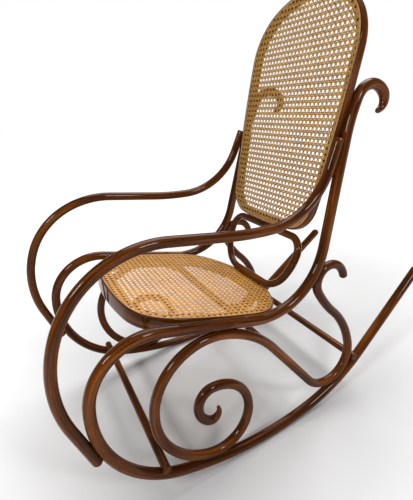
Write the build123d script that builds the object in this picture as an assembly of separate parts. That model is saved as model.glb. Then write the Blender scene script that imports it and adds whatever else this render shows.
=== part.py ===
from build123d import *

import os
from math import atan, atan2, cos, degrees, hypot, radians, sin, tan

# Bentwood rocking chair with a woven cane seat and back.
#
# Millimetres, +Z up, the chair faces -Y and the sitter's left is +X.
# The origin is on the floor, midway between the rockers, under the point where they touch it.
# Each side is one flat frame of bent round rods, and the two sides are mirror images.

# --- driving sizes ---------------------------------------------------------------------
HALF_WIDTH = 268.6      # centre of the side frame at the floor, from the middle of the chair
TOE_IN = 2.1            # degrees, the sides come together towards the back
LEAN_IN = 3.0           # degrees, the sides come together towards the top
SIDE_SCALE = 1.0        # size of the side frames against the bends listed below
ROD = 13.4              # radius of the post, seat rail, front loop and rocker
ARM_ROD = 12.2          # radius of the arm
SCROLL_ROD = 12.2       # radius of the scroll
LOOP_ROD = 10.5         # radius of the loop behind the seat
RUNG = 11.0             # radius of the three stretchers
FIT = 0.1               # clearance left where one piece is let into another
HOUSED = 1.0            # depth that touching rods are let into each other
FRONT_LET_IN = 6.0      # depth the front stretcher is let down over the rockers

BACK_DEPTH = 25.0       # back frame, front to rear
BACK_RIM = 21.0         # back frame, width of the bent strip seen from the front
BACK_AHEAD = 27.0       # front of the back frame, ahead of the middle of the posts
BACK_RISE = 5.0         # bottom of the back frame above the foot of the straight post
BACK_MEET = 285.0       # height up the straight post where it meets the back frame
BACK_BITE = 5.0         # depth the back frame is let into the posts there
SEAT_DEPTH = 37.0       # seat frame, top to bottom
SEAT_RIM = 32.0         # seat frame, width of the bent strip seen from above
SEAT_ABOVE = 10.0       # top of the seat frame above the middle of the rail
SEAT_BEHIND = 157.0     # rear edge of the seat, behind the rear end of the straight rail

CANE_PITCH = 15.0       # one cell of the cane weave
CANE_LAYER = 0.8        # thickness of one layer of strands
CANE_INSET = 3.5        # wood left outside the recess for the cane
STRAND_PAIR = 5.4       # width of a pair of strands lying side by side
STRAND = 2.6            # width of a diagonal strand
BINDING = 6.5           # width of the flat strip laid round the edge of the cane
BINDING_LAYER = 1.2     # its thickness

SCREW = 2.0             # radius of a wood screw
SCREW_HEAD = 4.2
HEAD_DEPTH = 2.6

WOOD_DENSITY = 0.70     # grams per cubic centimetre, used only to find the balance point
CANE_DENSITY = 0.45

# Bends of the side frame: (radius, degrees) turns left for a positive radius and right
# for a negative one, (0, length) runs straight.  Heights are above the floor.
POST_START = (395, 851, 22.5)
POST_BENDS = [(26, 110.5), (54, 112.5), (380, 14), (0, 270), (-185, 88.5), (0, 250)]
ROCKER_BENDS = [(135, 94.5), (245, 83), (820, 27.5), (500, 27.5), (0, 310)]
ARM_START = (265, 787, -109.5)
ARM_BENDS = [(0, 65), (-200, 67), (-800, 8), (0, 140), (240, 28), (220, 45.5), (280, 44), (0, 100)]
SCROLL_START = (-78, 168, -71)
SCROLL_BENDS = [(-20, 134), (-48, 112), (-38, 36), (-95, 197), (-170, 77), (-155, 105),
                (-260, 36), (0, 195), (85, 152), (225, 35), (-310, 17), (-46, 118), (-50, 80)]
SCARF_AT = 75           # middle of the rail's scarf joint, from the rear of the straight rail
SCARF_LENGTH = 100

# Half outlines, from the middle of the near edge round to the far edge
BACK_OUTLINE = [(950, 7), (80, 75), (2750, 8), (150, 62)]
SEAT_OUTLINE = [(650, 12), (110, 68), (1000, 12), (115, 53)]
LOOP_OUTLINE = [(0, 66), (85, 62), (150, 25), (42, 93)]


# --- flat paths of tangent arcs --------------------------------------------------------
class Bend:
    """A flat path, kept as edges for sweeping and as closely spaced points for measuring."""

    def __init__(self, start, runs, scale=1.0):
        x, y, heading = start
        self.edges = []
        self.points = [(x, y)]
        for radius, amount in runs:
            if radius:
                self._arc(x, y, heading, radius * scale, amount)
                heading += amount if radius > 0 else -amount
            else:
                self._straight(x, y, heading, amount * scale)
            x, y = self.points[-1]
        self.end = (x, y, heading)

    def _arc(self, x, y, heading, radius, sweep):
        turn = sweep if radius > 0 else -sweep
        a = radians(heading)
        cx, cy = x - radius * sin(a), y + radius * cos(a)
        begin = heading - 90 if radius > 0 else heading + 90
        self.edges.append(CenterArc((cx, cy), abs(radius), begin, turn))
        steps = max(4, int(abs(radius) * radians(sweep)))
        for i in range(1, steps + 1):
            b = radians(heading + turn * i / steps)
            self.points.append((cx + radius * sin(b), cy - radius * cos(b)))

    def _straight(self, x, y, heading, length):
        a = radians(heading)
        end = (x + length * cos(a), y + length * sin(a))
        self.edges.append(Line((x, y), end))
        steps = max(4, int(length))
        for i in range(1, steps + 1):
            self.points.append((x + length * i / steps * cos(a), y + length * i / steps * sin(a)))

    def nearest(self, p):
        return min(self.points, key=lambda q: hypot(q[0] - p[0], q[1] - p[1]))


def touching(path_a, path_b, guess):
    """Closest pair of points of two paths near a place."""
    a = path_a.nearest(guess)
    for _ in range(40):
        b = path_b.nearest(a)
        a = path_a.nearest(b)
    return a, b


def nestle(guess, *supports):
    """Point at the stated distance from each path, for a rod lying between two others."""
    p = guess
    for _ in range(60):
        for path, distance in supports:
            q = path.nearest(p)
            length = hypot(p[0] - q[0], p[1] - q[1])
            p = tuple(q[i] + (p[i] - q[i]) * distance / length for i in (0, 1))
    return p


def scaled_point(p):
    return tuple(SIDE_SCALE * c for c in p[:2]) + tuple(p[2:])


# --- the plane of the left side frame --------------------------------------------------
across = Vector(-tan(radians(TOE_IN)), 1, 0).normalized()
upward = Vector(-tan(radians(LEAN_IN)), 0, 1)
side_normal = across.cross(upward).normalized()
SIDE = Plane(origin=(HALF_WIDTH, 0, 0), x_dir=across, z_dir=side_normal)


def side_point(p, out=0):
    """World point of a side-frame point, moved outwards along the frame's normal."""
    return SIDE.from_local_coords(Vector(p[0], p[1], out))


def rod(path, radius, plane=SIDE, first=None, last=None):
    """Round rod along a path."""
    wire = Wire(path.edges[first:last])
    section = Plane(origin=wire @ 0, z_dir=wire % 0) * Circle(radius)
    return plane.location * sweep(section, path=wire)


def knob(p, radius, plane=SIDE):
    """Rounded end of a rod."""
    return plane.location * (Pos(p[0], p[1], 0) * Sphere(radius))


def wedge(p, heading, tilt, side, size, plane=SIDE):
    """Block lying on one side (1 left, -1 right) of a line through p."""
    block = Pos(p[0], p[1], 0) * Rot(0, 0, heading + tilt) * Pos(0, side * size / 2, 0)
    return plane.location * (block * Box(2.4 * size, size, size))


# --- paths of the side frame -----------------------------------------------------------
post_path = Bend(scaled_point(POST_START), POST_BENDS, SIDE_SCALE)
rocker_path = Bend(post_path.end, ROCKER_BENDS, SIDE_SCALE)
arm_path = Bend(scaled_point(ARM_START), ARM_BENDS, SIDE_SCALE)
scroll_path = Bend(scaled_point(SCROLL_START), SCROLL_BENDS, SIDE_SCALE)

# corners of the post path: foot and head of the straight post, rear end of the straight rail
post_head = Bend(scaled_point(POST_START), POST_BENDS[:3], SIDE_SCALE).end
post_foot = Bend(scaled_point(POST_START), POST_BENDS[:4], SIDE_SCALE).end
rail_rear = Bend(scaled_point(POST_START), POST_BENDS[:5], SIDE_SCALE).end


def on_rail(distance):
    """Point of the straight rail, measured forwards from its rear end."""
    a = radians(rail_rear[2])
    return (rail_rear[0] + distance * cos(a), rail_rear[1] + distance * sin(a), rail_rear[2])


def on_post(distance, ahead=0):
    """Point level with the straight post, measured up from its foot and forwards."""
    a = radians(post_head[2] - 180)
    return (post_foot[0] + distance * cos(a) - ahead * sin(a),
            post_foot[1] + distance * sin(a) + ahead * cos(a))


# --- bent rods of the left side --------------------------------------------------------
scarf = on_rail(SCARF_AT)
scarf_tilt = degrees(atan(2 * ROD / SCARF_LENGTH))
overlap = SCARF_LENGTH / 2 + 25
post_rail = rod(Bend(scaled_point(POST_START), POST_BENDS[:5], SIDE_SCALE), ROD)
post_rail += rod(Bend(rail_rear, [(0, SCARF_AT + overlap)]), ROD)
rear_lap = (scarf[0], scarf[1] - FIT / 2)
post_rail -= wedge(rear_lap, scarf[2], scarf_tilt, -1, 100)

loop_start = on_rail(SCARF_AT - overlap)
rail_left = POST_BENDS[5][1] * SIDE_SCALE - (SCARF_AT - overlap)
loop_rocker = rod(Bend(loop_start, [(0, rail_left)]), ROD) + rod(rocker_path, ROD)
loop_rocker += knob(rocker_path.end, ROD)
front_lap = (scarf[0], scarf[1] + FIT / 2)
loop_rocker -= wedge(front_lap, scarf[2], scarf_tilt, 1, 100)

around = rod(post_path, ROD + FIT) + rod(rocker_path, ROD + FIT)
arm = rod(arm_path, ARM_ROD) + knob(arm_path.end, ARM_ROD)
arm -= around
scroll = rod(scroll_path, SCROLL_ROD) + knob(scroll_path.end, SCROLL_ROD)
scroll -= around


# --- bent flat frames for the seat and back --------------------------------------------
def half_path(runs, scale=1.0):
    """Half an outline from (0, 0) round to the centre line, closed square to it."""
    half = Bend((0, 0, 0), runs, scale)
    x, y, heading = half.end
    a = radians(heading)
    if sin(a) > 1e-6:
        radius = x / sin(a)
        half._arc(x, y, heading, radius, 180 - heading)
    else:
        half._straight(x, y, heading, x)
    return half


def outline(half):
    """Closed face from half an outline and its mirror image."""
    return make_face(half.edges + [e.mirror(Plane.YZ) for e in half.edges])


def reach(half):
    """Largest distance of a half outline from the centre line."""
    return max(p[0] for p in half.points)


def width_at(half, y):
    """Distance from the centre line at one height of the outline's side."""
    return max(p[0] for p in half.points if abs(p[1] - y) < 3)


def caned_frame(face, rim, depth, front_round, rear_round):
    """Bent strip frame, its face at z = 0, with a shallow recess for the cane."""
    ring = extrude(face - offset(face, amount=-rim), -depth)
    ring = fillet(ring.edges().group_by(Axis.Z)[0], rear_round)
    ring = fillet(ring.edges().group_by(Axis.Z)[-1], front_round)
    return ring - extrude(offset(face, amount=-CANE_INSET), -4 * CANE_LAYER - BINDING_LAYER)


def cane_layer(face, angle, width, pitch, level):
    """One layer of parallel strands, held together by the band in the recess."""
    field = offset(face, amount=-CANE_INSET - FIT)
    band = field - offset(field, amount=-BINDING)
    box = field.bounding_box()
    reach_all = hypot(box.size.X, box.size.Y)
    centre = Pos(0, (box.min.Y + box.max.Y) / 2)
    count = int(reach_all / pitch / 2)
    strips = [centre * Rot(0, 0, angle) * Pos(0, i * pitch) * Rectangle(reach_all, width)
              for i in range(-count, count + 1)]
    lattice = band + (Sketch() + strips & field)
    return Pos(0, 0, level) * extrude(lattice, CANE_LAYER)


def cane_panel(face):
    """Four crossing layers of strands and the binding strip, from the lowest up."""
    depth = 4 * CANE_LAYER + BINDING_LAYER
    diagonal = CANE_PITCH / 2 ** 0.5
    plan = {"rows": (0, STRAND_PAIR, CANE_PITCH), "uprights": (90, STRAND_PAIR, CANE_PITCH),
            "diagonals_up": (45, STRAND, diagonal), "diagonals_down": (-45, STRAND, diagonal)}
    panel = {}
    for i, (name, (angle, width, pitch)) in enumerate(plan.items()):
        panel[name] = cane_layer(face, angle, width, pitch, i * CANE_LAYER - depth)
    edge = offset(face, amount=-CANE_INSET - FIT)
    strip = edge - offset(edge, amount=-BINDING)
    panel["binding"] = Pos(0, 0, -BINDING_LAYER) * extrude(strip, BINDING_LAYER)
    return panel



# seat frame, between the straight rails and let into them
rail_back = radians(rail_rear[2] - 180)
seat_edge = on_rail(-SEAT_BEHIND)
seat_half = half_path(SEAT_OUTLINE)
seat_length = seat_half.points[-1][1]
widest = seat_length - max(seat_half.points)[1]
rail_inside = side_point(on_rail(widest - SEAT_BEHIND)).X - ROD
seat_half = half_path(SEAT_OUTLINE, (rail_inside + 2 * HOUSED) / reach(seat_half))
seat_up = Vector(0, -sin(rail_back), cos(rail_back))
seat_origin = Vector(0, seat_edge[0], seat_edge[1]) + seat_up * SEAT_ABOVE
SEAT = Plane(origin=seat_origin, x_dir=(1, 0, 0), z_dir=seat_up)
seat_place = SEAT.location * Pos(0, -seat_half.points[-1][1], 0)
seat_face = outline(seat_half)
seat_frame = seat_place * caned_frame(seat_face, SEAT_RIM, SEAT_DEPTH, 2.5, 6)
seat_frame -= [around, around.mirror(Plane.YZ)]

# back frame, between the straight posts and let into them
post_lean = radians(270 - post_head[2])
back_half = half_path(BACK_OUTLINE)
post_inside = side_point(on_post(BACK_MEET * SIDE_SCALE)).X - ROD
back_scale = (post_inside + BACK_BITE) / width_at(back_half, BACK_MEET)
back_half = half_path(BACK_OUTLINE, back_scale)
back_foot = on_post(BACK_RISE, BACK_AHEAD)
back_ahead = Vector(0, -cos(post_lean), sin(post_lean))
BACK = Plane(origin=(0, back_foot[0], back_foot[1]), x_dir=(1, 0, 0), z_dir=back_ahead)
back_face = outline(back_half)
back_frame = BACK.location * caned_frame(back_face, BACK_RIM, BACK_DEPTH, 2.5, 7)
post_rail -= back_frame
bare_arm = arm
arm -= back_frame

# loop behind the seat, standing on the seat frame and reaching the underside of the back
loop_foot = SEAT.from_local_coords(Vector(0, -0.4 * SEAT_RIM, LOOP_ROD - 0.5))
loop_head = BACK.from_local_coords(Vector(0, -LOOP_ROD + 0.5, -0.55 * BACK_DEPTH))
loop_rise = loop_head - loop_foot
loop_scale = loop_rise.length / half_path(LOOP_OUTLINE).points[-1][1]
loop_half = half_path(LOOP_OUTLINE, loop_scale)
loop_normal = Vector(1, 0, 0).cross(loop_rise).normalized()
LOOP = Plane(origin=loop_foot, x_dir=(1, 0, 0), z_dir=loop_normal)
rear_loop = rod(loop_half, LOOP_ROD, LOOP)
rear_loop += rear_loop.mirror(Plane.YZ)
seat_slab = SEAT.location * Pos(0, 0, -25) * Box(600, 600, 50)
rear_loop -= [seat_slab, back_frame]

# stretchers
front_centre = nestle(scaled_point((-222, 74)), (rocker_path, ROD + RUNG - FRONT_LET_IN))
rear_centre = nestle(scaled_point((379, 172)), (scroll_path, SCROLL_ROD + RUNG - HOUSED),
                     (rocker_path, ROD + RUNG - 2 * HOUSED))
middle_centre = scroll_path.nearest(scaled_point((181, 173)))


def rung(centre, past):
    """Round stretcher between the two side frames, ending past their middle planes."""
    end = side_point(centre)
    bar = Pos(0, end.Y, end.Z) * Rot(0, 90, 0) * Cylinder(RUNG, 2 * (end.X + past))
    return bar


both = [around, around.mirror(Plane.YZ)]
scroll_grown = rod(scroll_path, SCROLL_ROD + FIT)
both_scrolls = [scroll_grown, scroll_grown.mirror(Plane.YZ)]
front_stretcher = rung(front_centre, ROD) - both - both_scrolls
rear_stretcher = rung(rear_centre, ROD) - both - both_scrolls
middle_stretcher = rung(middle_centre, 0) - both_scrolls


# --- screws ----------------------------------------------------------------------------
def screw(head, tip, grow=0.0):
    """Slotted screw from the middle of its head to its tip; grown, it is its own hole."""
    axis = tip - head
    place = Plane(origin=head, z_dir=axis).location
    shank = Cylinder(SCREW + grow, axis.length, align=(Align.CENTER, Align.CENTER, Align.MIN))
    top = Cylinder(SCREW_HEAD + grow, HEAD_DEPTH, align=(Align.CENTER, Align.CENTER, Align.MIN))
    if grow:
        top = Pos(0, 0, -20) * Cylinder(SCREW_HEAD + grow, 20 + HEAD_DEPTH,
                                        align=(Align.CENTER, Align.CENTER, Align.MIN))
    else:
        top = fillet(top.edges().sort_by(Axis.Z)[0], 1.2)
        top -= Box(3 * SCREW_HEAD, 1.0, 2.0)
    return place * (shank + top)


def through(a, b, radius_a, proud, bite):
    """Screw line from the far side of the rod at a into the middle of the rod at b."""
    line = (b - a).normalized()
    return a - line * (radius_a - proud), b + line * bite


def pair_line(path, other, guess, radius, bite=3.0):
    """Screw line where two rods touch."""
    a, b = touching(path, other, guess)
    return through(side_point(a), side_point(b), radius, 2.2, bite)


def cross_line(path, other, guess, radius, bite=3.0):
    """Screw line straight across from a chosen point of a path."""
    a = path.nearest(guess)
    return through(side_point(a), side_point(other.nearest(a)), radius, 2.2, bite)


inward = -1 * side_normal
scroll_lines = [pair_line(scroll_path, rocker_path, scaled_point((-101, 43)), SCROLL_ROD),
                pair_line(scroll_path, post_path, scaled_point((-59, 362)), SCROLL_ROD),
                pair_line(scroll_path, rocker_path, scaled_point((317, 122)), SCROLL_ROD),
                pair_line(scroll_path, post_path, scaled_point((235, 451)), SCROLL_ROD)]
arm_lines = [cross_line(arm_path, rocker_path, scaled_point((-388, 193)), ARM_ROD),
             cross_line(arm_path, rocker_path, scaled_point((-378, 169)), ARM_ROD)]
arm_top = side_point(arm_path.points[4])
arm_line = (inward - back_ahead * 0.45).normalized()
arm_lines.append((arm_top - arm_line * (ARM_ROD - 2.2), arm_top + arm_line * (ARM_ROD + 10)))
back_joint = side_point(on_post(BACK_MEET * SIDE_SCALE))
back_line = (inward + back_ahead * 0.55).normalized()
back_lines = [(back_joint - back_line * (ROD - 2.2), back_joint + back_line * (ROD + 9))]


def rail_line(distance):
    middle = side_point(on_rail(distance))
    return middle - inward * (ROD - 2.2), middle + inward * (ROD + 12)


seat_lines = [rail_line(-20), rail_line(SCARF_AT + SCARF_LENGTH / 2 + 15)]
scarf_lines = []
for shift in (-0.22, 0.22):
    middle = side_point(on_rail(SCARF_AT + shift * SCARF_LENGTH))
    down = -1 * SIDE.y_dir
    scarf_lines.append((middle - down * (ROD - 2.2), middle + down * (ROD - 5)))


def rung_line(path, radius, centre, level, past=6.0):
    """Screw through a rod of the side frame into the end of a stretcher."""
    near = path.nearest(centre)
    end = side_point(centre)
    return through(side_point(near), Vector(end.X - level, end.Y, end.Z), radius, 2.2, past)


front_end = side_point(front_centre)
front_seat = side_point(rocker_path.nearest(front_centre))
rung_lines = [through(front_end, front_seat, RUNG, 2.2, 4),
              rung_line(scroll_path, SCROLL_ROD, rear_centre, 2)]
middle_end = side_point(middle_centre)
rung_lines.append((middle_end - inward * (SCROLL_ROD - 2.2), middle_end + inward * 34))

loop_lines = [(LOOP.from_local_coords(Vector(x, LOOP_ROD - 2.2, 0)),
               LOOP.from_local_coords(Vector(x, -LOOP_ROD - 12, 0))) for x in (-42, 42)]
loop_lines.append((loop_head - loop_rise.normalized() * (LOOP_ROD - 2.2),
                   loop_head + loop_rise.normalized() * (LOOP_ROD + 9)))


def screws(lines):
    return Part() + [screw(*line) for line in lines]


def mirrored(lines):
    return [tuple(Vector(-p.X, p.Y, p.Z) for p in line) for line in lines]


def drilled(piece, lines):
    for line in lines:
        piece = piece - screw(*line, grow=0.05)
    return piece


rung_ends = rung_lines + mirrored(rung_lines)
seat_ends = seat_lines + mirrored(seat_lines)
back_ends = back_lines + arm_lines[2:]
back_ends += mirrored(back_ends)

bare_scroll = scroll
scroll = drilled(scroll, scroll_lines + rung_lines)
loop_rocker = drilled(loop_rocker, scroll_lines[:3] + arm_lines[:2] + scarf_lines + seat_lines
                      + rung_lines[:1])
post_rail = drilled(post_rail, scroll_lines[1:] + scarf_lines + seat_lines + back_lines)
arm = drilled(arm, arm_lines)
back_frame = drilled(back_frame, back_ends + loop_lines[2:])
seat_frame = drilled(seat_frame, seat_ends + loop_lines[:2])
rear_loop = drilled(rear_loop, loop_lines)
front_stretcher = drilled(front_stretcher, rung_ends)
middle_stretcher = drilled(middle_stretcher, rung_ends)
rear_stretcher = drilled(rear_stretcher, rung_ends)

right_side = Plane(origin=(-HALF_WIDTH, 0, 0), x_dir=(-SIDE.x_dir.X, SIDE.x_dir.Y, 0),
                   z_dir=(SIDE.z_dir.X, -SIDE.z_dir.Y, -SIDE.z_dir.Z))
to_right = right_side.location * SIDE.location.inverse()

# --- all the pieces --------------------------------------------------------------------
left = {"post_rail": post_rail, "loop_rocker": loop_rocker, "arm": arm, "scroll": scroll,
        "scroll_screws": screws(scroll_lines), "arm_screws": screws(arm_lines),
        "scarf_screws": screws(scarf_lines), "seat_screws": screws(seat_lines),
        "back_screw": screws(back_lines), "stretcher_screws": screws(rung_lines)}
parts = {"left_" + name: piece for name, piece in left.items()}
parts.update({"right_" + name: piece.mirror(Plane.YZ) for name, piece in left.items()})
# A bare rod is alike on both faces, so a left one moved across is cut there for the right.
parts["right_arm"] = drilled(to_right * bare_arm - back_frame, mirrored(arm_lines))
parts["right_scroll"] = drilled(to_right * bare_scroll, mirrored(scroll_lines + rung_lines))
parts.update({"seat_frame": seat_frame, "back_frame": back_frame, "rear_loop": rear_loop,
              "rear_loop_screws": screws(loop_lines), "front_stretcher": front_stretcher,
              "middle_stretcher": middle_stretcher, "rear_stretcher": rear_stretcher})
for name, piece in cane_panel(seat_face).items():
    parts["seat_cane_" + name] = drilled(seat_place * piece, loop_lines[:2])
for name, piece in cane_panel(back_face).items():
    parts["back_cane_" + name] = BACK.location * piece

# --- rest pose: the centre of mass comes to lie under the centre of the rockers' curve ---
weights = {name: piece.volume * (CANE_DENSITY if "cane" in name else WOOD_DENSITY)
           for name, piece in parts.items()}
total = sum(weights.values())
mass_y = sum(w * parts[n].center(CenterOf.MASS).Y for n, w in weights.items()) / total
mass_z = sum(w * parts[n].center(CenterOf.MASS).Z for n, w in weights.items()) / total
bend_start = Bend(post_path.end, ROCKER_BENDS[:2], SIDE_SCALE).end
radius = ROCKER_BENDS[2][0] * SIDE_SCALE
heading = radians(bend_start[2])
hub = side_point((bend_start[0] - radius * sin(heading), bend_start[1] + radius * cos(heading)))
rest_tilt = degrees(atan2(mass_y - hub.Y, hub.Z - mass_z))
turned = Rot(-rest_tilt, 0, 0) * Pos(0, -hub.Y, -hub.Z)
lowest = (turned * parts["left_loop_rocker"]).bounding_box().min.Z
rest = Pos(0, 0, -lowest) * turned

os.makedirs("parts", exist_ok=True)
for name, piece in parts.items():
    export_step(rest * piece, "parts/" + name + ".step")
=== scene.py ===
from math import acos, atan2, cos, degrees, hypot, pi, radians, sin, tan

import bpy
import numpy as np
from mathutils import Matrix, Vector


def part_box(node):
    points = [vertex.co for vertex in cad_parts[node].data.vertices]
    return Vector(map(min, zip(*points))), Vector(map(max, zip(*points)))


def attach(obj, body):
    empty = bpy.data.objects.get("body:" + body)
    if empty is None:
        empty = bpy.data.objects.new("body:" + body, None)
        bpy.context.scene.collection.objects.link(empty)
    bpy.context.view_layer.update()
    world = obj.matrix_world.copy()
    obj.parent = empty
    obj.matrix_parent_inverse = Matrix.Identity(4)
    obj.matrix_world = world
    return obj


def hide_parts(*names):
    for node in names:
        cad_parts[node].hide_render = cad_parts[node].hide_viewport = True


# A bentwood rocking chair: steam-bent, stained and lacquered beech rods, with a seat and a
# back of woven split cane.  Lengths are millimetres in the upright frame of the chair, and
# at_rest turns them to the leaning pose that the chair takes on its rockers, in metres.

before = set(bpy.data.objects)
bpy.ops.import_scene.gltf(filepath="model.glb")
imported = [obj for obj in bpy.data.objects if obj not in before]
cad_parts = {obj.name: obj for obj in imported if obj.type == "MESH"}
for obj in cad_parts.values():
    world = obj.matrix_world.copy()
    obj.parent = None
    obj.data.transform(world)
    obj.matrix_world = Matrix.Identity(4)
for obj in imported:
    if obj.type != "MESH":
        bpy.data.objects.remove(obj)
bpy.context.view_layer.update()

# --- sizes of the chair, as its maker would write them ----------------------------------
HALF_WIDTH = 268.6      # middle of a side frame at the floor, from the middle of the chair
TOE_IN = 2.1            # degrees, the sides come together towards the back
LEAN_IN = 3.0           # degrees, the sides come together towards the top
ROD = 13.4              # radius of the post, seat rail, front loop and rocker
ARM_ROD = 12.2
SCROLL_ROD = 12.2
LOOP_ROD = 10.5

BACK_DEPTH = 25.0
BACK_RIM = 21.0
BACK_AHEAD = 27.0
BACK_RISE = 5.0
BACK_MEET = 285.0
BACK_BITE = 5.0
SEAT_DEPTH = 37.0
SEAT_RIM = 32.0
SEAT_ABOVE = 10.0
SEAT_BEHIND = 157.0
HOUSED = 1.0

CANE_PITCH = 15.0       # one cell of the cane weave
CANE_INSET = 3.5        # wood left outside the recess for the cane
RECESS = 4.4            # depth of that recess
BINDING = 5.0           # width of the flat strip laid round the edge of the cane

# Bends of the side frame: (radius, degrees) turns left for a positive radius and right
# for a negative one, (0, length) runs straight.
POST_START = (395, 851, 22.5)
POST_BENDS = [(26, 110.5), (54, 112.5), (380, 14), (0, 270), (-185, 88.5), (0, 250)]
ROCKER_BENDS = [(135, 94.5), (245, 83), (820, 27.5), (500, 27.5), (0, 310)]
ARM_START = (265, 787, -109.5)
ARM_BENDS = [(0, 65), (-200, 67), (-800, 8), (0, 140), (240, 28), (220, 45.5), (280, 44), (0, 100)]
SCROLL_START = (-78, 168, -71)
SCROLL_BENDS = [(-20, 134), (-48, 112), (-38, 36), (-95, 197), (-170, 77), (-155, 105),
                (-260, 36), (0, 195), (85, 152), (225, 35), (-310, 17), (-46, 118), (-50, 80)]
SCARF_AT = 75
SCARF_LENGTH = 100
BACK_OUTLINE = [(950, 7), (80, 75), (2750, 8), (150, 62)]
SEAT_OUTLINE = [(650, 12), (110, 68), (1000, 12), (115, 53)]
LOOP_OUTLINE = [(0, 66), (85, 62), (150, 25), (42, 93)]

# camera: where it stands, which way it looks and its focal length
CAMERA_AT = (909.7, -441.6, 842.6)
CAMERA_PAN = 27.0       # degrees, to the right of straight across the chair
CAMERA_DIP = 19.8       # degrees below level
CAMERA_LENS = 27.4      # on a 36 mm wide film

AROUND = 28             # faces round a rod
STEP = 6.0              # spacing of rings along a rod
POINTED = 55.0          # length over which a rod's end narrows
BLUNT = (0.0, 0.94, 0.985)  # size of the last rings of a sawn end, which ease its edge
rng = np.random.default_rng(1860)


# --- flat paths of tangent arcs ---------------------------------------------------------
def bend(start, runs, step=STEP):
    """Points (x, y, heading) of a path of tangent arcs and straights.

    On an arc of radius r the heading turns evenly, and the point stays at r from the centre.
    """
    x, y, heading = start
    a = radians(heading)
    points = [np.array([[x, y, a]])]
    for radius, amount in runs:
        if radius:
            turn = radians(amount) * (1 if radius > 0 else -1)
            b = a + turn * np.linspace(0, 1, max(3, int(abs(radius * turn) / step) + 2))[1:]
            run = np.stack([x + radius * (np.sin(b) - sin(a)), y - radius * (np.cos(b) - cos(a)), b], 1)
        else:
            d = np.linspace(0, amount, max(2, int(amount / step / 2) + 2))[1:]
            run = np.stack([x + d * cos(a), y + d * sin(a), np.full_like(d, a)], 1)
        points.append(run)
        x, y, a = run[-1]
    return np.vstack(points)


def end_of(path):
    return path[-1, 0], path[-1, 1], degrees(path[-1, 2])


def half_path(runs, scale=1.0):
    """Half an outline from (0, 0) round to the centre line, closed square to it."""
    scaled = [(r * scale, amount if r else amount * scale) for r, amount in runs]
    x, y, heading = end_of(bend((0, 0, 0), scaled))
    a = radians(heading)
    if sin(a) > 1e-6:
        last = (x / sin(a), 180 - heading)
    else:
        last = (0, x)
    return bend((0, 0, 0), scaled + [last], 4.0)


def whole_outline(half):
    """Closed loop of points and inward normals, from half an outline and its mirror image."""
    x, y, a = half[:-1].T
    mx, my, ma = half[:0:-1].T
    loop = np.stack([np.r_[x, -mx], np.r_[y, my]], 1)
    heading = np.r_[a, -ma + 2 * pi]
    inward = np.stack([-np.sin(heading), np.cos(heading)], 1)
    return loop, inward


# --- the plane of the left side frame ---------------------------------------------------
def unit(v):
    return np.asarray(v, float) / np.linalg.norm(v)


ALONG = unit((-tan(radians(TOE_IN)), 1, 0))
OUT = unit(np.cross(ALONG, (-tan(radians(LEAN_IN)), 0, 1)))
UP = np.cross(OUT, ALONG)


def side_point(p):
    return np.array([HALF_WIDTH, 0, 0]) + p[0] * ALONG + p[1] * UP


post_path = bend(POST_START, POST_BENDS)
rocker_path = bend(end_of(post_path), ROCKER_BENDS)
arm_path = bend(ARM_START, ARM_BENDS)
scroll_path = bend(SCROLL_START, SCROLL_BENDS)
post_head = end_of(bend(POST_START, POST_BENDS[:3]))
post_foot = end_of(bend(POST_START, POST_BENDS[:4]))
rail_rear = end_of(bend(POST_START, POST_BENDS[:5]))


def on_rail(distance):
    """Point of the straight rail, measured forwards from its rear end."""
    a = radians(rail_rear[2])
    return rail_rear[0] + distance * cos(a), rail_rear[1] + distance * sin(a)


def on_post(distance, ahead=0.0):
    """Point level with the straight post, measured up from its foot and forwards."""
    a = radians(post_head[2] - 180)
    return (post_foot[0] + distance * cos(a) - ahead * sin(a),
            post_foot[1] + distance * sin(a) + ahead * cos(a))


# --- the leaning rest pose --------------------------------------------------------------
arc_start = end_of(bend(end_of(post_path), ROCKER_BENDS[:2]))
arc_radius = ROCKER_BENDS[2][0]
arc_heading = radians(arc_start[2])
hub = side_point((arc_start[0] - arc_radius * sin(arc_heading),
                  arc_start[1] + arc_radius * cos(arc_heading)))
hub_height = arc_radius * hypot(ALONG[2], UP[2]) + ROD
tail = side_point(rocker_path[-1, :2]) - hub
tail_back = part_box("left_loop_rocker")[1].y * 1000 - ROD
# The chair leans by the turn that brings the ends of its rockers to where the frame has them.
lean = atan2(tail[2], tail[1]) + acos(tail_back / hypot(tail[1], tail[2]))


def turned(v):
    """Directions turned from the upright frame to the rest pose."""
    v = np.asarray(v, float)
    y = v[..., 1] * cos(lean) + v[..., 2] * sin(lean)
    z = -v[..., 1] * sin(lean) + v[..., 2] * cos(lean)
    return np.stack([v[..., 0], y, z], -1)


def at_rest(v):
    """Points turned about the hub of the rockers' arc and set on the floor, in metres."""
    moved = turned(np.asarray(v, float) - np.array([0, hub[1], hub[2]]))
    return (moved + np.array([0, 0, hub_height])) / 1000


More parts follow.
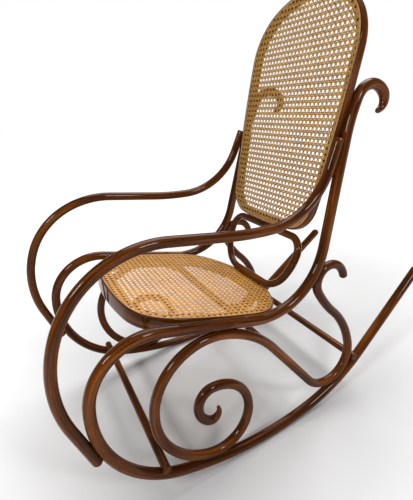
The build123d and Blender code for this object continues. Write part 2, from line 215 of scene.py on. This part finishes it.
# --- meshes -----------------------------------------------------------------------------
def surface(name, points, quads, triangles=None, grain=None):
    """Mesh object from arrays of points and faces, with the wood or cane place of each point."""
    mesh = bpy.data.meshes.new(name)
    quads = np.asarray(quads, np.int32).reshape(-1, 4)
    triangles = np.zeros((0, 3), np.int32) if triangles is None else np.asarray(triangles, np.int32)
    mesh.vertices.add(len(points))
    mesh.vertices.foreach_set("co", np.ascontiguousarray(points, np.float32).ravel())
    mesh.loops.add(quads.size + triangles.size)
    mesh.loops.foreach_set("vertex_index", np.r_[quads.ravel(), triangles.ravel()])
    mesh.polygons.add(len(quads) + len(triangles))
    starts = np.r_[np.arange(len(quads)) * 4, quads.size + np.arange(len(triangles)) * 3]
    mesh.polygons.foreach_set("loop_start", starts.astype(np.int32))
    mesh.polygons.foreach_set("use_smooth", np.full(len(starts), True))
    if grain is not None:
        place = mesh.attributes.new("grain", "FLOAT_VECTOR", "POINT")
        place.data.foreach_set("vector", np.ascontiguousarray(grain, np.float32).ravel())
    mesh.update(calc_edges=True)
    mesh.validate()
    piece = bpy.data.objects.new(name, mesh)
    bpy.context.scene.collection.objects.link(piece)
    return piece


def grid_faces(rows, columns, close_rows=False, flip=False):
    """Quads of a grid of points, wrapped round along its columns and, if asked, its rows."""
    i = np.arange(rows if close_rows else rows - 1)
    i, j = np.meshgrid(i, np.arange(columns), indexing="ij")
    i2, j2 = (i + 1) % rows, (j + 1) % columns
    quads = np.stack([i * columns + j, i * columns + j2, i2 * columns + j2, i2 * columns + j], -1)
    quads = quads.reshape(-1, 4)
    return quads[:, ::-1] if flip else quads


def finish_piece(piece, node, material):
    piece.data.materials.append(material)
    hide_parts(*([node] if isinstance(node, str) else node))
    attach(piece, "root")
    return piece


def rod(name, centre, normal, binormal, radius, ends=(1.0, 1.0), shear=(0.0, 0.0), point=(0.0, 0.0)):
    """Round rod: circles carried along a path.

    ends is the length of each rounded end in radii, where the radius follows a quarter
    ellipse.  shear slides the rim of an end along the rod by shear times the cosine round
    the rod, which makes a slanting scarf.  point narrows an end over its last stretch.
    """
    lengths = np.r_[0, np.cumsum(np.linalg.norm(np.diff(centre, axis=0), axis=1))]
    total = lengths[-1]
    turn = np.linspace(0, pi / 2, 9)
    cap = [max(e, 0.0) * radius for e in ends]
    body = lengths[(lengths > 3) & (lengths < total - 3)]
    first = -cap[0] * np.cos(turn)[:-1] if cap[0] else np.zeros(3)
    first_size = np.sin(turn)[:-1] if cap[0] else np.array(BLUNT)
    last = (total + cap[1] * np.sin(turn))[1:] if cap[1] else np.full(3, total)
    last_size = np.cos(turn)[1:] if cap[1] else np.array(BLUNT[::-1])
    inset = 0.0 if cap[1] else 0.5
    s = np.r_[first, 0.0 if cap[0] else 0.5, body, total - inset, last]
    size = np.r_[first_size, 1.0, np.ones(len(body)), 1.0, last_size]
    for near, share in ((s, point[0]), (total - s, point[1])):
        if share:
            size = size * (1 - share * np.clip(1 - near / POINTED, 0, 1) ** 1.6)
    inside = np.clip(s, 0, total)
    place = np.stack([np.interp(inside, lengths, centre[:, k]) for k in range(3)], 1)
    side = np.stack([np.interp(inside, lengths, normal[:, k]) for k in range(3)], 1)
    side /= np.linalg.norm(side, axis=1, keepdims=True)
    handed = 1 if np.cross(normal[0], binormal) @ (centre[1] - centre[0]) > 0 else -1
    forward = handed * np.cross(side, binormal)
    place = place + forward * (s - inside)[:, None]
    angle = np.arange(AROUND) * 2 * pi / AROUND
    slide = np.zeros((len(s), AROUND))
    for near, amount in ((s, shear[0]), (total - s, shear[1])):
        if amount:
            fade = np.clip(1 - near / (2.5 * abs(amount)), 0, 1)[:, None]
            slide += amount * fade * size[:, None] * np.cos(angle)
    ring = (np.cos(angle)[None, :, None] * side[:, None, :]
            + np.sin(angle)[None, :, None] * np.asarray(binormal)[None, None, :])
    points = place[:, None, :] + ring * (radius * size)[:, None, None]
    points = points + slide[..., None] * forward[:, None, :]
    offset = rng.uniform(0, 4000)
    grain = np.stack([(s[:, None] + slide + offset), (radius * size)[:, None] * np.cos(angle),
                      (radius * size)[:, None] * np.sin(angle) + offset / 7], -1)
    rows = len(s)
    body_points = points[1:-1].reshape(-1, 3)
    poles = np.stack([points[0].mean(0), points[-1].mean(0)])
    quads = grid_faces(rows - 2, AROUND)
    j = np.arange(AROUND)
    k = (j + 1) % AROUND
    first_pole, last_pole = (rows - 2) * AROUND, (rows - 2) * AROUND + 1
    last_ring = (rows - 3) * AROUND
    fans = np.vstack([np.stack([np.full(AROUND, first_pole), k, j], 1),
                      np.stack([np.full(AROUND, last_pole), last_ring + j, last_ring + k], 1)])
    every = np.vstack([body_points, poles])
    grain = np.vstack([grain[1:-1].reshape(-1, 3), grain[0].mean(0), grain[-1].mean(0)])
    if handed < 0:
        quads, fans = quads[:, ::-1], fans[:, ::-1]
    return surface(name, at_rest(every), quads, fans, grain)


def side_rod(name, path, radius, side, **shape):
    """Rod of a side frame, on the left for side 1 and mirrored to the right for -1."""
    mirror = np.array([side, 1, 1])
    centre = np.array([HALF_WIDTH, 0, 0]) + path[:, :1] * ALONG + path[:, 1:2] * UP
    normal = -np.sin(path[:, 2:]) * ALONG + np.cos(path[:, 2:]) * UP
    return rod(name, centre * mirror, normal * mirror, OUT * mirror, radius, **shape)


def bent_ring(name, half, depth, rim, front_round, rear_round, place):
    """Bent flat frame: a rounded rectangle with a recess, carried round a closed outline."""
    loop, inward = whole_outline(half)
    quarter = np.linspace(0, pi / 2, 5)
    profile = [(CANE_INSET, 0.0), (CANE_INSET, -RECESS), (rim, -RECESS)]
    profile += [(rim - rear_round * (1 - cos(q)), -depth + rear_round * (1 - sin(q))) for q in quarter]
    profile += [(rear_round * (1 - sin(q)), -depth + rear_round * (1 - cos(q))) for q in quarter]
    profile += [(front_round * (1 - cos(q)), -front_round * (1 - sin(q))) for q in quarter]
    section = np.array(profile)
    flat = loop[:, None, :] + inward[:, None, :] * section[None, :, :1]
    level = np.broadcast_to(section[None, :, 1:], flat.shape[:2] + (1,))
    step = np.linalg.norm(np.diff(np.vstack([loop, loop[:1]]), axis=0), axis=1)
    run = np.r_[0, np.cumsum(step)[:-1]]
    grain = np.stack(np.broadcast_arrays(run[:, None] + rng.uniform(0, 3000),
                                         section[None, :, 0], section[None, :, 1]), -1)
    points = place(np.concatenate([flat, level], -1).reshape(-1, 3))
    quads = grid_faces(len(loop), len(section), True, flip=True)
    return surface(name, at_rest(points), quads, None, grain.reshape(-1, 3))


# --- the planes of the seat, the back and the loop behind the seat ----------------------
def plane(origin, x_axis, z_axis):
    """Maps flat points (x, y, height) to the upright frame."""
    x_axis, z_axis = unit(x_axis), unit(z_axis)
    y_axis = np.cross(z_axis, x_axis)

    def place(p):
        p = np.asarray(p, float)
        return np.asarray(origin) + p[..., :1] * x_axis + p[..., 1:2] * y_axis + p[..., 2:3] * z_axis
    return place


def width_at(half, y):
    return half[np.abs(half[:, 1] - y) < 4, 0].max()


slope = radians(rail_rear[2] - 180)
seat_edge = on_rail(-SEAT_BEHIND)
seat_half = half_path(SEAT_OUTLINE)
widest = seat_half[-1, 1] - seat_half[seat_half[:, 0].argmax(), 1]
rail_inside = side_point(on_rail(widest - SEAT_BEHIND))[0] - ROD
seat_half = half_path(SEAT_OUTLINE, (rail_inside + 2 * HOUSED) / seat_half[:, 0].max())
seat_up = np.array([0, -sin(slope), cos(slope)])
seat_origin = np.array([0, seat_edge[0], seat_edge[1]]) + seat_up * SEAT_ABOVE
seat_plane = plane(seat_origin, (1, 0, 0), seat_up)
seat_length = seat_half[-1, 1]


def on_seat(p):
    return seat_plane(np.asarray(p) - np.array([0, seat_length, 0]))


post_lean = radians(270 - post_head[2])
back_half = half_path(BACK_OUTLINE)
post_inside = side_point(on_post(BACK_MEET))[0] - ROD
back_half = half_path(BACK_OUTLINE, (post_inside + BACK_BITE) / width_at(back_half, BACK_MEET))
back_foot = on_post(BACK_RISE, BACK_AHEAD)
on_back = plane((0, back_foot[0], back_foot[1]), (1, 0, 0), (0, -cos(post_lean), sin(post_lean)))


# --- materials --------------------------------------------------------------------------
def linear(code):
    """sRGB hex colour as linear red, green, blue and alpha."""
    c = np.array([int(code[i:i + 2], 16) / 255 for i in (1, 3, 5)])
    c = np.where(c <= 0.04045, c / 12.92, ((c + 0.055) / 1.055) ** 2.4)
    return (*c, 1.0)


def add(tree, kind, links=None, **settings):
    """Adds a node.  A setting goes to the node's property of that name, or else to its input."""
    node = tree.nodes.new(kind)
    for name, value in settings.items():
        if hasattr(node, name):
            setattr(node, name, value)
        else:
            node.inputs[name.replace("_", " ")].default_value = value
    for socket, source in (links or {}).items():
        tree.links.new(source, node.inputs[socket])
    return node


def ramp(tree, source, stops):
    """Colour ramp through (position, hex colour) stops."""
    node = add(tree, "ShaderNodeValToRGB", {"Fac": source})
    elements = node.color_ramp.elements
    for i, (position, code) in enumerate(stops):
        element = elements[i] if i < 2 else elements.new(position)
        element.position = position
        element.color = linear(code)
    return node


def new_material(name, **settings):
    """Material with its shader and output; settings go on the shader's own sockets."""
    material = bpy.data.materials.new(name)
    material.use_nodes = True
    tree = material.node_tree
    tree.nodes.clear()
    shader = add(tree, "ShaderNodeBsdfPrincipled", None, **settings)
    add(tree, "ShaderNodeOutputMaterial", {"Surface": shader.outputs["BSDF"]})
    return material, tree, shader


def stretched(tree, place, length, width):
    """Noise whose blots are length millimetres along the grain and width across it."""
    scaled = add(tree, "ShaderNodeVectorMath", {0: place}, operation="MULTIPLY")
    scaled.inputs[1].default_value = (1 / length, 1 / width, 1 / width)
    return scaled.outputs[0]


def lacquered_beech():
    """Steam-bent beech, stained red-brown and lacquered.

    The stain takes unevenly, the pores make fine dark streaks along the bend, beech shows
    short dark flecks, and the clear lacquer over it gives sharp highlights.
    """
    material, tree, shader = new_material("lacquered_beech", Roughness=0.6, Coat_Weight=1.0,
                                          Specular_IOR_Level=0.0, Coat_Roughness=0.05, Coat_IOR=1.25)
    place = add(tree, "ShaderNodeAttribute", attribute_name="grain").outputs["Vector"]
    streaks = add(tree, "ShaderNodeTexNoise", {"Vector": stretched(tree, place, 130, 3.6)},
                  Scale=1.0, Detail=5.0, Roughness=0.62)
    tone = add(tree, "ShaderNodeTexNoise", {"Vector": stretched(tree, place, 230, 17)},
               Scale=1.0, Detail=3.0, Roughness=0.5)
    flecks = add(tree, "ShaderNodeTexNoise", {"Vector": stretched(tree, place, 7, 1.1)},
                 Scale=1.0, Detail=1.0, Roughness=0.4)
    blend = add(tree, "ShaderNodeMath", {0: streaks.outputs["Fac"]}, operation="MULTIPLY_ADD")
    blend.inputs[1].default_value = 0.55
    tree.links.new(add(tree, "ShaderNodeMath", {0: tone.outputs["Fac"]}, operation="MULTIPLY").outputs[0],
                   blend.inputs[2])
    stain = ramp(tree, blend.outputs[0], [(0.32, "#200D02"), (0.70, "#824710"), (0.54, "#502708"),
                                          (0.43, "#341704")])
    fleck = ramp(tree, flecks.outputs["Fac"], [(0.60, "#FFFFFF"), (0.70, "#7A6A60")])
    colour = add(tree, "ShaderNodeMix", {6: stain.outputs[0], 7: fleck.outputs[0]},
                 data_type="RGBA", blend_type="MULTIPLY")
    colour.inputs[0].default_value = 0.7
    tree.links.new(colour.outputs[2], shader.inputs["Base Color"])
    height = add(tree, "ShaderNodeBump", {"Height": streaks.outputs["Fac"]}, Strength=0.2,
                 Distance=0.00015)
    tree.links.new(height.outputs[0], shader.inputs["Normal"])
    return material


def split_cane(name, stops):
    """Split rattan: the smooth outer skin of the vine, golden, with fine lengthwise fibres."""
    material, tree, shader = new_material(name, Roughness=0.38, IOR=1.5, Coat_Weight=0.25,
                                          Coat_Roughness=0.2)
    place = add(tree, "ShaderNodeAttribute", attribute_name="grain").outputs["Vector"]
    fibres = add(tree, "ShaderNodeTexNoise", {"Vector": stretched(tree, place, 40, 0.7)},
                 Scale=1.0, Detail=3.0, Roughness=0.55)
    tone = add(tree, "ShaderNodeTexNoise", {"Vector": stretched(tree, place, 120, 3.5)},
               Scale=1.0, Detail=1.0)
    blend = add(tree, "ShaderNodeMath", {0: fibres.outputs["Fac"], 1: tone.outputs["Fac"]},
                operation="ADD")
    half = add(tree, "ShaderNodeMath", {0: blend.outputs[0]}, operation="MULTIPLY")
    half.inputs[1].default_value = 0.5
    colour = ramp(tree, half.outputs[0], stops)
    tree.links.new(colour.outputs[0], shader.inputs["Base Color"])
    height = add(tree, "ShaderNodeBump", {"Height": fibres.outputs["Fac"]}, Strength=0.3, Distance=0.0002)
    tree.links.new(height.outputs[0], shader.inputs["Normal"])
    return material


def blackened_steel():
    """Turned steel wood screws, blackened, rubbed bright in places by the driver."""
    material, tree, shader = new_material("blackened_steel", Metallic=1.0)
    place = add(tree, "ShaderNodeTexCoord").outputs["Object"]
    wear = add(tree, "ShaderNodeTexNoise", {"Vector": place}, Scale=900.0, Detail=3.0)
    colour = ramp(tree, wear.outputs["Fac"], [(0.35, "#2B2420"), (0.7, "#8B7A66")])
    tree.links.new(colour.outputs[0], shader.inputs["Base Color"])
    rough = add(tree, "ShaderNodeMapRange", {"Value": wear.outputs["Fac"]}, To_Min=0.3, To_Max=0.5)
    tree.links.new(rough.outputs[0], shader.inputs["Roughness"])
    return material


beech = lacquered_beech()
back_cane = split_cane("split_cane_of_the_back", [(0.34, "#7B5620"), (0.66, "#D8A850"), (0.5, "#B38435")])
seat_cane = split_cane("split_cane_of_the_seat", [(0.34, "#96601E"), (0.66, "#EDB35A"), (0.5, "#CB8E38")])
binding_cane = split_cane("binding_cane", [(0.34, "#84572F"), (0.66, "#CFA06A"), (0.5, "#AE7F4C")])
steel = blackened_steel()

# --- the bent rods of the two sides -----------------------------------------------------
SCARF_SHEAR = SCARF_LENGTH / 2
to_scarf = POST_BENDS[:5] + [(0, SCARF_AT)]
scarf_start = (*on_rail(SCARF_AT), rail_rear[2])
from_scarf = [(0, POST_BENDS[5][1] - SCARF_AT)] + ROCKER_BENDS

for side, word in ((1, "left"), (-1, "right")):
    rods = {
        "post_rail": (bend(POST_START, to_scarf), ROD,
                      {"ends": (0.8, 0), "shear": (0, SCARF_SHEAR), "point": (0.45, 0)}),
        "loop_rocker": (bend(scarf_start, from_scarf), ROD, {"ends": (0, 1), "shear": (SCARF_SHEAR, 0)}),
        "arm": (arm_path, ARM_ROD, {"ends": (0, 1)}),
        "scroll": (scroll_path, SCROLL_ROD, {"ends": (0.6, 0.8), "point": (0.6, 0.1)}),
    }
    for name, (path, radius, shape) in rods.items():
        piece = side_rod(f"{word}_bent_{name}", path, radius, side, **shape)
        finish_piece(piece, f"{word}_{name}", beech)

# --- stretchers: straight rungs across the chair ----------------------------------------

def upright_from_rest(p):
    """Undoes at_rest for one point given in metres."""
    y, z = p[1] * 1000, p[2] * 1000 - hub_height
    return np.array([p[0] * 1000, y * cos(lean) - z * sin(lean) + hub[1],
                     y * sin(lean) + z * cos(lean) + hub[2]])


for name in ("front_stretcher", "middle_stretcher", "rear_stretcher"):
    low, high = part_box(name)
    middle = (low + high) / 2
    radius = (high.y - low.y) * 500
    left_end = upright_from_rest((high.x, middle.y, middle.z))
    right_end = upright_from_rest((low.x, middle.y, middle.z))
    centre = right_end + np.linspace(0, 1, 60)[:, None] * (left_end - right_end)
    normal = np.tile([0.0, 0.0, 1.0], (60, 1))
    piece = rod(f"turned_{name}", centre, normal, np.array([0.0, 1.0, 0.0]), radius, ends=(0, 0))
    finish_piece(piece, name, beech)

# --- the loop behind the seat -----------------------------------------------------------
loop_foot = seat_plane((0, -0.4 * SEAT_RIM, LOOP_ROD - 0.5))
loop_head = on_back((0, -LOOP_ROD + 0.5, -0.55 * BACK_DEPTH))
loop_rise = loop_head - loop_foot
loop_half = half_path(LOOP_OUTLINE, np.linalg.norm(loop_rise) / half_path(LOOP_OUTLINE)[-1, 1])
on_loop = plane(loop_foot, (1, 0, 0), np.cross((1, 0, 0), loop_rise))
loop, loop_inward = whole_outline(loop_half)
start = len(loop) // 2
loop = np.roll(loop, -start, axis=0)
loop_inward = np.roll(loop_inward, -start, axis=0)


def closed_rod(name, loop, inward, place, radius):
    """Round rod bent into a closed loop: circles carried round an outline."""
    angle = np.arange(AROUND) * 2 * pi / AROUND
    flat = loop[:, None, :] + inward[:, None, :] * (radius * np.cos(angle))[None, :, None]
    level = np.broadcast_to((radius * np.sin(angle))[None, :, None], flat.shape[:2] + (1,))
    step = np.linalg.norm(np.diff(np.vstack([loop, loop[:1]]), axis=0), axis=1)
    run = np.r_[0, np.cumsum(step)[:-1]] + rng.uniform(0, 3000)
    grain = np.stack(np.broadcast_arrays(run[:, None], radius * np.cos(angle)[None, :],
                                         radius * np.sin(angle)[None, :]), -1)
    points = place(np.concatenate([flat, level], -1).reshape(-1, 3))
    quads = grid_faces(len(loop), AROUND, True)
    return surface(name, at_rest(points), quads, None, grain.reshape(-1, 3))


piece = closed_rod("bent_rear_loop", loop, loop_inward, on_loop, LOOP_ROD)
finish_piece(piece, "rear_loop", beech)

# --- seat and back frames ---------------------------------------------------------------
piece = bent_ring("bent_seat_frame", seat_half, SEAT_DEPTH, SEAT_RIM, 3.0, 6.0, on_seat)
finish_piece(piece, "seat_frame", beech)
piece = bent_ring("bent_back_frame", back_half, BACK_DEPTH, BACK_RIM, 3.0, 7.0, on_back)
finish_piece(piece, "back_frame", beech)


# --- woven cane -------------------------------------------------------------------------
CANE_LEVEL = -2.6       # middle of the weave below the face of the frame
PAIR_HALF = 2.3         # from the middle of a pair of strands to each of them
OVER = 0.75             # how far a strand of a pair rises over what it crosses
DIAGONAL_OVER = 1.05
BACK_STRAND = 2.9       # width of a strand
SEAT_STRAND = 3.4
STRAND_THICK = 0.75
STRAND_STEP = CANE_PITCH / 6
SEAT_SLACK = 5.0        # how far the middle of the seat hangs
BACK_SLACK = 1.5
BINDING_THICK = 1.1
LOOP_OF_CANE = 0.75     # rise of the fine cane loops over the binding
LOOP_HALF = 0.9         # half the width of such a loop


def chord(polygon, direction, offset):
    """Where a line crosses a closed convex outline, as distances along its direction."""
    normal = np.array([-direction[1], direction[0]])
    beside = polygon @ normal - offset
    along = polygon @ direction
    nxt = np.roll(beside, -1)
    cross = np.nonzero((beside < 0) != (nxt < 0))[0]
    if len(cross) < 2:
        return None
    share = beside[cross] / (beside[cross] - nxt[cross])
    hits = along[cross] + share * (np.roll(along, -1)[cross] - along[cross])
    return hits.min(), hits.max()


def strands(name, polygon, angle, offsets, waves, place, sag, width):
    """Parallel split-cane strands, each a flattened half-round carried along a wavy line.

    waves(offset, along) is the height of a strand, a cosine of the distance along it whose
    crests lie over the strands that it crosses.
    """
    direction = np.array([cos(angle), sin(angle)])
    normal = np.array([-direction[1], direction[0]])
    round_half = np.linspace(0, pi, 5)
    across = np.r_[np.cos(round_half), -0.55, 0.55] * width / 2
    crown = np.r_[np.sin(round_half) * 0.55, -0.45, -0.45] * STRAND_THICK
    points, grain, quads, triangles, count = [], [], [], [], 0
    for offset, phase in offsets:
        span = chord(polygon, direction, offset)
        if span is None or span[1] - span[0] < 6:
            continue
        along = np.linspace(*span, max(4, int((span[1] - span[0]) / STRAND_STEP)))
        line = along[:, None] * direction + offset * normal
        level = waves(along, phase) + CANE_LEVEL
        flat = line[:, None, :] + across[None, :, None] * normal
        height = level[:, None] + crown[None, :]
        height = height - sag(line)[:, None]
        points.append(np.concatenate([flat, height[..., None]], -1).reshape(-1, 3))
        seed = rng.uniform(0, 5000)
        where = np.broadcast_arrays(along[:, None] + seed, across[None, :] + seed, crown[None, :])
        grain.append(np.stack(where, -1).reshape(-1, 3))
        quads.append(grid_faces(len(along), len(across)) + count)
        last_row = (len(along) - 1) * len(across)
        ends = count + np.array([[6, 5, 1, 0], [5, 4, 2, 1]])
        tip = count + np.array([[4, 3, 2]])
        quads += [ends, ends[:, ::-1] + last_row]
        triangles += [tip, tip[:, ::-1] + last_row]
        count += len(along) * len(across)
    rest = at_rest(place(np.vstack(points)))
    return surface(name, rest, np.vstack(quads), np.vstack(triangles), np.vstack(grain))


def edge_loop(half, inset):
    """Outline moved inwards by an inset."""
    loop, inward = whole_outline(half)
    return loop + inward * inset


def woven_panel(word, half, place, slack, cane, width):
    """Six-way cane: pairs of rows and uprights, crossed by two sets of single diagonals."""
    polygon = edge_loop(half, CANE_INSET + BINDING * 0.6)
    low, high = polygon.min(0), polygon.max(0)
    middle = (low + high) / 2
    size = (high - low) / 2
    wave = 2 * pi / CANE_PITCH

    def sag(p):
        """The panel hangs by slack in the middle and by nothing at the edge."""
        from_middle = np.clip(1 - (((p - middle) / size) ** 2).sum(-1), 0, 1)
        return slack * from_middle

    def pairs(extent, centre):
        count = int(extent / CANE_PITCH) + 1
        cells = centre + CANE_PITCH * np.arange(-count, count + 1)
        return [(c + b * PAIR_HALF, b) for c in cells for b in (-1, 1)]

    rows = pairs(size[1], middle[1])
    uprights = [(-offset, -b) for offset, b in pairs(size[0], middle[0])]
    made = {}
    made["rows"] = strands(f"woven_{word}_rows", polygon, 0.0, rows,
                           lambda s, b: b * OVER * np.sin(wave * (s - middle[0])), place, sag, width)
    made["uprights"] = strands(f"woven_{word}_uprights", polygon, pi / 2, uprights,
                               lambda s, b: b * OVER * np.sin(wave * (s - middle[1])), place, sag, width)
    for name, turn, sign in (("diagonals_up", pi / 4, 1), ("diagonals_down", -pi / 4, -1)):
        direction = np.array([cos(turn), sin(turn)])
        normal = np.array([-direction[1], direction[0]])
        pitch = CANE_PITCH * 0.5 ** 0.5
        count = int(size.sum() / pitch) + 1
        base = middle @ normal
        offsets = [(base + (i + 0.5) * pitch, i + 0.5) for i in range(-count, count)]
        start = middle @ direction

        def waves(s, i, start=start, sign=sign, direction=direction, normal=normal, pitch=pitch):
            x = (s - start) * direction[0] + i * pitch * normal[0]
            return sign * DIAGONAL_OVER * np.cos(wave * x)
        made[name] = strands(f"woven_{word}_{name}", polygon, turn, offsets, waves, place, sag, width)
    for name, piece in made.items():
        finish_piece(piece, f"{word}_cane_{name}", cane)


def bound_edge(word, half, place):
    """Flat cane strip round the edge, with a loop of fine cane over it at every cell."""
    loop, inward = whole_outline(half)
    middle = CANE_INSET + 0.1 + BINDING / 2
    arc = np.linspace(0, pi, 7)
    across = np.r_[np.cos(arc), -0.9, 0.9] * BINDING / 2 * 0.98
    crown = np.r_[np.sin(arc) * BINDING_THICK, -0.9, -0.9] - 1.3
    flat = loop[:, None, :] + inward[:, None, :] * (middle + across)[None, :, None]
    level = np.broadcast_to(crown[None, :, None], flat.shape[:2] + (1,))
    step = np.linalg.norm(np.diff(np.vstack([loop, loop[:1]]), axis=0), axis=1)
    run = np.r_[0, np.cumsum(step)]
    grain = np.stack(np.broadcast_arrays(run[:-1, None], across[None, :], crown[None, :]), -1)
    points = [np.concatenate([flat, level], -1).reshape(-1, 3)]
    quads = [grid_faces(len(loop), len(across), True)]
    places = [grain.reshape(-1, 3)]
    count = len(points[0])
    total = int(run[-1] / CANE_PITCH)
    closed = np.vstack([loop, loop[:1]])
    closed_in = np.vstack([inward, inward[:1]])
    over = np.linspace(0, pi, 7)
    for s in (np.arange(total) + 0.5) * run[-1] / total:
        at = np.array([np.interp(s, run, closed[:, k]) for k in (0, 1)])
        inn = np.array([np.interp(s, run, closed_in[:, k]) for k in (0, 1)])
        inn /= np.linalg.norm(inn)
        side = np.array([inn[1], -inn[0]])
        reach = np.cos(over) * (BINDING / 2 + 0.3)
        lift = (np.sin(over) - 1) * LOOP_OF_CANE
        ring_side = np.array([-1.0, -0.5, 0.5, 1.0]) * LOOP_HALF
        ring_up = np.array([-0.5, 0.25, 0.25, -0.5])
        base = at + inn * (middle + reach)[:, None]
        flat = base[:, None, :] + side * ring_side[None, :, None]
        height = (lift[:, None] + ring_up[None, :])[..., None]
        points.append(np.concatenate([flat, height], -1).reshape(-1, 3))
        where = np.broadcast_arrays(reach[:, None] + s * 3, ring_side[None, :], ring_up[None, :])
        places.append(np.stack(where, -1).reshape(-1, 3))
        quads.append(grid_faces(len(over), 4, flip=True) + count)
        ends = count + np.array([[0, 1, 2, 3]])
        quads.append(np.vstack([ends, ends[:, ::-1] + (len(over) - 1) * 4]))
        count += len(over) * 4
    piece = surface(f"bound_{word}_edge", at_rest(place(np.vstack(points))), np.vstack(quads), None,
                    np.vstack(places))
    finish_piece(piece, f"{word}_cane_binding", binding_cane)


woven_panel("seat", seat_half, on_seat, SEAT_SLACK, seat_cane, SEAT_STRAND)
bound_edge("seat", seat_half, on_seat)
woven_panel("back", back_half, on_back, BACK_SLACK, back_cane, BACK_STRAND)
bound_edge("back", back_half, on_back)

# --- screws keep their shape and get their finish ---------------------------------------
for name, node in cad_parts.items():
    if "screw" in name:
        node.data.materials.clear()
        node.data.materials.append(steel)

# --- studio -----------------------------------------------------------------------------
FLOOR_SIZE = 40.0
material, tree, shader = new_material("paper_sweep_with_painted_shade", Roughness=0.9, IOR=1.3)
# Painted shade: the floor's colour is grey round the chair and turns near-white between half a metre and
# a metre and a half from its middle, so the floor looks darker under and round the chair, where its
# shadow falls.
place = add(tree, "ShaderNodeTexCoord").outputs["Object"]
painted_shade_reach = add(tree, "ShaderNodeVectorMath", {0: place}, operation="LENGTH")
painted_shade_reach = add(tree, "ShaderNodeMapRange", {"Value": painted_shade_reach.outputs["Value"]}, From_Min=0.5, From_Max=1.5)
colour = ramp(tree, painted_shade_reach.outputs["Result"], [(0.0, "#CACACA"), (1.0, "#FDFDFD")])
tree.links.new(colour.outputs[0], shader.inputs["Base Color"])
half_floor = FLOOR_SIZE / 2
corners = np.array([[-1, -1, 0], [1, -1, 0], [1, 1, 0], [-1, 1, 0]]) * half_floor
floor = surface("paper_floor", corners, [[0, 1, 2, 3]])
floor.data.materials.append(material)


def softbox(name, place, aim, size, power):
    """Square area light at place, looking at aim."""
    data = bpy.data.lights.new(name, "AREA")
    data.shape = "SQUARE"
    data.size = size
    data.energy = power
    light = bpy.data.objects.new(name, data)
    light.matrix_world = (Matrix.Translation(place)
                          @ (Vector(aim) - Vector(place)).to_track_quat("-Z", "Y").to_matrix().to_4x4())
    bpy.context.scene.collection.objects.link(light)


CHAIR_MIDDLE = (0.0, 0.0, 0.5)
softbox("front_window", (1.2, -2.6, 2.9), CHAIR_MIDDLE, 0.8, 60)
softbox("side_window", (2.9, 0.9, 2.3), CHAIR_MIDDLE, 0.6, 38)
sun = bpy.data.lights.new("window_light", "SUN")
sun.energy = 3.1
sun.angle = radians(48)
sun_object = bpy.data.objects.new("window_light", sun)
sun_object.matrix_world = Vector((-0.35, 0.45, 1.0)).to_track_quat("Z", "Y").to_matrix().to_4x4()
bpy.context.scene.collection.objects.link(sun_object)

# The room is dim, so that the lacquer stays dark between its highlights, and ends in a white wall.
world = bpy.data.worlds.new("studio")
world.use_nodes = True
tree = world.node_tree
tree.nodes.clear()
room = add(tree, "ShaderNodeBackground", Strength=0.24)
wall = add(tree, "ShaderNodeBackground", Color=linear("#FFFFFF"), Strength=1.0)
seen = add(tree, "ShaderNodeLightPath")
both = add(tree, "ShaderNodeMixShader", {0: seen.outputs["Is Camera Ray"], 1: room.outputs[0],
                                         2: wall.outputs[0]})
add(tree, "ShaderNodeOutputWorld", {"Surface": both.outputs[0]})
scene = bpy.context.scene
scene.world = world
scene.view_settings.view_transform = "Standard"

# --- camera -----------------------------------------------------------------------------
pan, dip = radians(CAMERA_PAN), radians(CAMERA_DIP)
look = np.array([-cos(pan) * cos(dip), sin(pan) * cos(dip), -sin(dip)])
right = unit(np.cross(look, (0, 0, 1)))
above = np.cross(right, look)
axes = turned(np.stack([right, above, -look]))
camera_data = bpy.data.cameras.new("camera")
camera_data.lens = CAMERA_LENS
camera_data.clip_end = 100
camera = bpy.data.objects.new("camera", camera_data)
turn = Matrix([list(axes[:, k]) for k in range(3)]).to_4x4()
camera.matrix_world = Matrix.Translation(at_rest(CAMERA_AT)) @ turn
scene.collection.objects.link(camera)
scene.camera = camera

bpy.context.view_layer.update()
